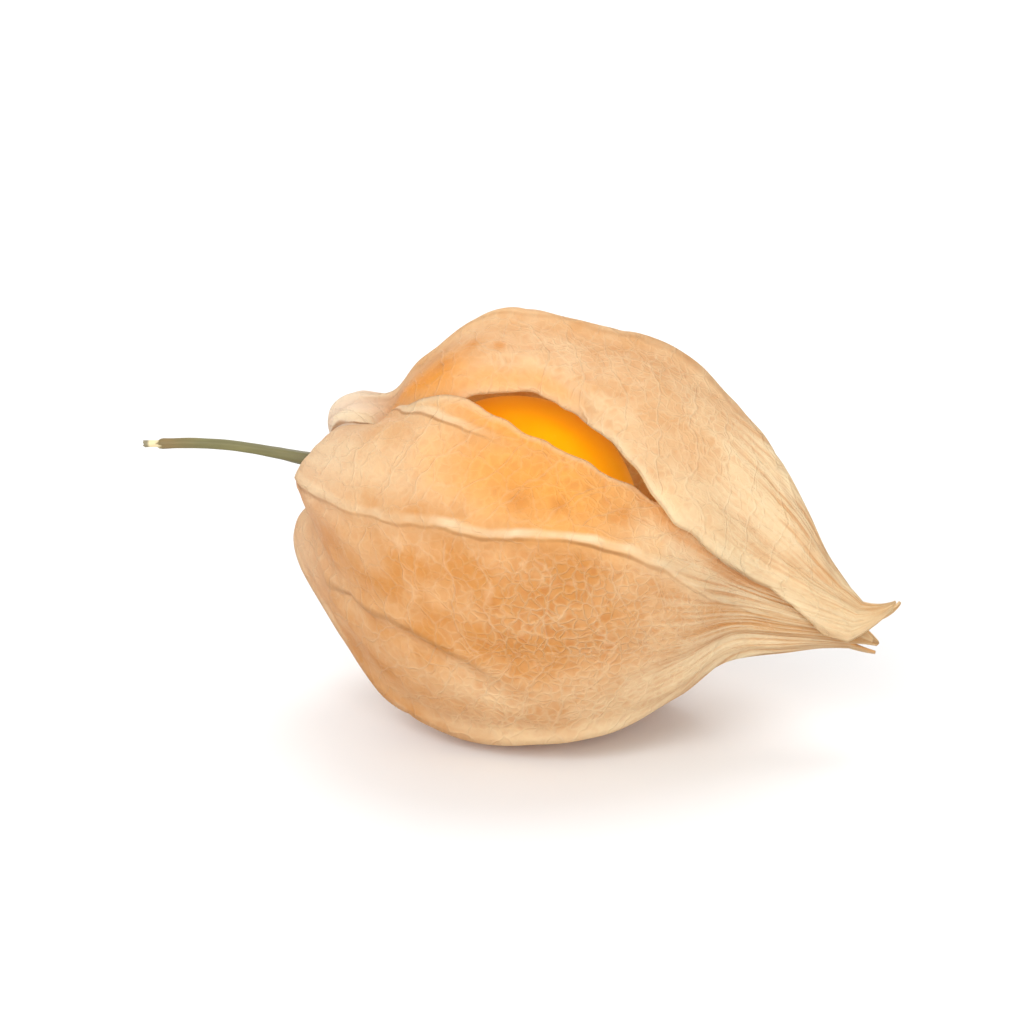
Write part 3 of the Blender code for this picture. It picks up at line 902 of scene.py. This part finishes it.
def paper_finish(name, see_through, lining):
    """Husk paper that lets see_through of the light pass. lining fades it to the inner side."""
    finish, tree, shader, output = new_finish(name)
    flat_map = add(tree, "UVMap").outputs["UV"]
    solid_map = add(tree, "TexCoord").outputs["Object"]
    slow = flat_noise(tree, flat_map, 0.16, 3.0).outputs["Fac"]
    fine, dents, branches = paper_nets(tree, flat_map, slow)
    crests, creases = paper_lines(tree, flat_map, slow)
    fleck = add(tree, "TexNoise", Vector=solid_map, Scale=FLECKS, Detail=3.0).outputs["Fac"]
    blotch = add(tree, "TexNoise", Vector=solid_map, Scale=BLOTCHES, Detail=4.0,
                 Roughness=0.6).outputs["Fac"]
    drawn = add(tree, "Mapping", Vector=flat_map, Scale=STREAKS).outputs[0]
    streaks = flat_noise(tree, drawn, 1.0, 4.0).outputs["Fac"]
    netted, beak = attribute(tree, "netted"), attribute(tree, "beak")

    pale = plus(tree, attribute(tree, "pale"), scaled(tree, blotch, 0.3, 0.7, -0.25, 0.25))
    painted_glow = plus(tree, attribute(tree, "painted_glow"), scaled(tree, blotch, 0.3, 0.7, -0.2, 0.2))
    dents = times(tree, dents, scaled(tree, fleck, 0.35, 0.6, 1.0, 0.2))
    dents = times(tree, dents, scaled(tree, netted, 0.0, 1.0, 0.15, 0.9))
    net = times(tree, fine, scaled(tree, netted, 0.0, 1.0, 0.05, 0.28))
    net = times(tree, net, scaled(tree, painted_glow, 0.0, 0.8, 1.0, 0.45))
    coats = [(scaled(tree, pale, 0.0, 1.0, 0.0, 1.0), PALE_PAPER),
             # painted glow of the berry's light through the paper
             (scaled(tree, painted_glow, 0.1, 0.9, 0.0, 0.9), PAINTED_BERRY_GLOW),
             (dents, DENT_BROWN),
             # painted shade under the flap and in the slit's corner, together with the real stains
             (times(tree, attribute(tree, "shaded"), 0.8), SHADE_AND_STAIN_ORANGE), (net, PALE_PAPER),
             (times(tree, branches, scaled(tree, painted_glow, 0.0, 0.8, 0.18, 0.1)), KEEL_CREAM),
             (times(tree, beak, scaled(tree, streaks, 0.5, 0.65, 0.0, 0.5)), KEEL_CREAM),
             (times(tree, beak, scaled(tree, streaks, 0.35, 0.48, 0.6, 0.0)), DENT_BROWN),
             (times(tree, attribute(tree, "base"), 0.8), BASE_GREY),
             # the brown lines here are painted shade under the crests
             (crests, KEEL_CREAM), (creases, SHADE_LINE_BROWN), (lining, LINING)]
    paper = DARK_PAPER
    for share, colour in coats:
        paper = mix(tree, share, paper, colour)

    net_height = times(tree, fine, scaled(tree, netted, 0.0, 1.0, 0.25, 1.6))
    height = highest(tree, net_height, branches)
    for pattern, strength in ((fleck, 0.9), (blotch, 0.8), (times(tree, beak, streaks), 4.0)):
        height = plus(tree, height, times(tree, pattern, strength))
    bump = add(tree, "Bump", Height=height, Strength=0.6, Distance=BUMP_HEIGHT * MM).outputs[0]
    connect(tree, shader, Base_Color=paper, Normal=bump, Roughness=0.55, Specular_IOR_Level=0.3)
    through = add(tree, "BsdfTranslucent", Color=mix(tree, 0.35, paper, LINING), Normal=bump)
    both = add(tree, "MixShader", i0=see_through, i1=shader.outputs[0], i2=through.outputs[0])
    connect(tree, output, Surface=both.outputs[0])
    return finish


husk.data.materials.append(paper_finish("husk paper", see_through=0.5, lining=0.0))
husk.data.materials.append(paper_finish("husk lining", see_through=0.8, lining=0.7))
print("husk materials:", [finish.name for finish in husk.data.materials])

# %% [markdown]
# ## Berry skin
# The skin is taut and glossy, and light goes into the flesh from all round through the paper.
# Subsurface gives that depth. A faint emission stands for the light that has travelled right
# through the berry, a thin coat gives the sharp highlight, and slow noise varies the orange.

# %% Berry finish
SKIN_ORANGES = [(0.3, (1.0, 0.38, 0.0)), (0.55, (1.0, 0.46, 0.0)), (0.75, (1.0, 0.54, 0.005))]
SPECK_YELLOW = (1.0, 0.58, 0.06)
EMITTED_GLOW_ORANGE = (1.0, 0.36, 0.0, 1)
SKIN_PATCHES = 130.0             # to the metre
PORES = 1500.0                   # to the metre


def berry_finish():
    finish, tree, shader, _ = new_finish("berry skin")
    where = add(tree, "TexCoord").outputs["Object"]
    blush = add(tree, "TexNoise", Vector=where, Scale=SKIN_PATCHES, Detail=3.0).outputs["Fac"]
    skin = ramp(tree, blush, SKIN_ORANGES)
    dots = add(tree, "TexVoronoi", Vector=where, Scale=PORES).outputs["Distance"]
    speck = ramp(tree, dots, [(0.08, (0.25, 0.25, 0.25)), (0.2, (0, 0, 0))])
    skin = mix(tree, speck, skin, SPECK_YELLOW)
    bump = add(tree, "Bump", Height=dots, Strength=0.06, Distance=0.05 * MM).outputs[0]
    connect(tree, shader, Base_Color=skin, Normal=bump, Roughness=0.28)
    connect(tree, shader, Subsurface_Weight=0.6, Subsurface_Radius=(1.0, 0.6, 0.1),
            Subsurface_Scale=4 * MM)
    # a faint glow though the berry is no lamp: emission for light that has passed through the berry
    connect(tree, shader, Emission_Color=EMITTED_GLOW_ORANGE, Emission_Strength=0.25)
    connect(tree, shader, Coat_Weight=0.4, Coat_Roughness=0.12)
    return finish


berry.data.materials.append(berry_finish())
print("berry skin ready")

# %% [markdown]
# ## Stem bark
# The stalk has dried olive green, browner towards its cut end, with fine fibres along it. The bare
# core is cream. The colour runs along the "way" attribute, and the "bare" attribute shows the core.

# %% Stem finish
BARK_COLOURS = [(0.0, (0.30, 0.26, 0.06)), (0.4, (0.11, 0.08, 0.025)), (0.55, (0.13, 0.115, 0.04)),
                (0.8, (0.16, 0.145, 0.05)), (0.9, (0.20, 0.13, 0.045))]
FIBRE_DARK = (0.09, 0.08, 0.03)
CORE_CREAM = (0.62, 0.52, 0.30)
CUT_BROWN = (0.10, 0.085, 0.05)
FIBRES = (260.0, 2600.0, 2600.0)   # to the metre, along the stalk and across it


def stem_finish():
    finish, tree, shader, _ = new_finish("stem bark")
    where = add(tree, "TexCoord").outputs["Object"]
    stretched = add(tree, "Mapping", Vector=where, Scale=FIBRES).outputs[0]
    fibre = add(tree, "TexNoise", Vector=stretched, Scale=1.0, Detail=4.0).outputs["Fac"]
    along = attribute(tree, "way")
    bark = ramp(tree, along, BARK_COLOURS)
    dark_fibres = ramp(tree, fibre, [(0.35, (0.5, 0.5, 0.5)), (0.65, (0, 0, 0))])
    bark = mix(tree, dark_fibres, bark, FIBRE_DARK)
    bark = mix(tree, attribute(tree, "bare"), bark, CORE_CREAM)
    bark = mix(tree, scaled(tree, along, 0.975, 0.985, 0.0, 0.8), bark, CUT_BROWN)
    bump = add(tree, "Bump", Height=fibre, Strength=0.5, Distance=0.08 * MM).outputs[0]
    connect(tree, shader, Base_Color=bark, Normal=bump, Roughness=0.6)
    return finish


stem.data.materials.append(stem_finish())
print("stem bark ready")

# %% [markdown]
# ## Riding and replacing
# Nothing moves on a physalis, so all three pieces ride on the one body. Each piece stands for the
# plain solid of the same part, which stays in the physics model.

# %% Hand the pieces to the frame
for piece, node in ((husk, "husk"), (berry, "berry"), (stem, "stem")):
    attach(piece, "root")
    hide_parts(node)
    print(piece.name, "stands for", node, "with", len(piece.data.polygons), "faces")

# %% [markdown]
# ## Floor and light
# The fruit lies on a plain white surface in soft studio light: a bright even sky and four large
# soft lamps. The key stands at the front left and a fill at the front right, one hangs overhead
# and one lights the back.

# %% Floor and lamps
FLOOR_SIZE = 4.0                 # m
SKY_STRENGTH = 0.75
floor_material, floor_tree, floor_shader, _ = new_finish("white floor")
connect(floor_tree, floor_shader, Base_Color=(0.78, 0.78, 0.78, 1), Roughness=0.9)
bpy.ops.mesh.primitive_plane_add(size=FLOOR_SIZE)
floor = bpy.context.object
floor.name = "floor"
floor.data.materials.append(floor_material)
floor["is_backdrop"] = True

world = bpy.data.worlds.new("studio")
world.use_nodes = True
sky = world.node_tree.nodes["Background"]
connect(world.node_tree, sky, Color=(1, 1, 1, 1), Strength=SKY_STRENGTH)
bpy.context.scene.world = world


def add_lamp(name, place, size, power, target=(0, 0, 0.015)):
    bpy.ops.object.light_add(type="AREA", location=place)
    lamp = bpy.context.object
    lamp.name = name
    lamp.data.shape = "DISK"
    lamp.data.size = size
    lamp.data.energy = power
    lamp.rotation_euler = (Vector(target) - Vector(place)).to_track_quat("-Z", "Y").to_euler()


add_lamp("key softbox", (-0.35, -1.10, 0.80), 0.9, 11.3)
add_lamp("overhead softbox", (0.05, 0.55, 1.25), 0.9, 6.0)
add_lamp("back softbox", (-0.45, 1.25, 0.60), 0.9, 5.0)
add_lamp("front fill", (0.60, -1.20, 0.45), 0.7, 10.0)

# %% [markdown]
# ## Camera
# A long lens from a little above sees the husk from its slit side without stretching the near
# end. The standard view transform keeps the orange as strong as it is.

# %% Camera
VIEW_AZIMUTH = math.radians(15)
VIEW_ELEVATION = math.radians(18)
VIEW_DISTANCE = 0.30             # m
LENS = 140                       # mm
low, high = (Vector(corner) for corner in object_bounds())
target = (low + high) / 2
back = Vector((math.sin(VIEW_AZIMUTH) * math.cos(VIEW_ELEVATION),
               -math.cos(VIEW_AZIMUTH) * math.cos(VIEW_ELEVATION), math.sin(VIEW_ELEVATION)))
bpy.ops.object.camera_add(location=target + back * VIEW_DISTANCE)
camera = bpy.context.object
camera.rotation_euler = (-back).to_track_quat("-Z", "Y").to_euler()
camera.data.lens = LENS
camera.data.clip_start = 0.01
bpy.context.scene.camera = camera
bpy.context.scene.view_settings.view_transform = "Standard"
print("camera at", [round(value, 3) for value in camera.location])
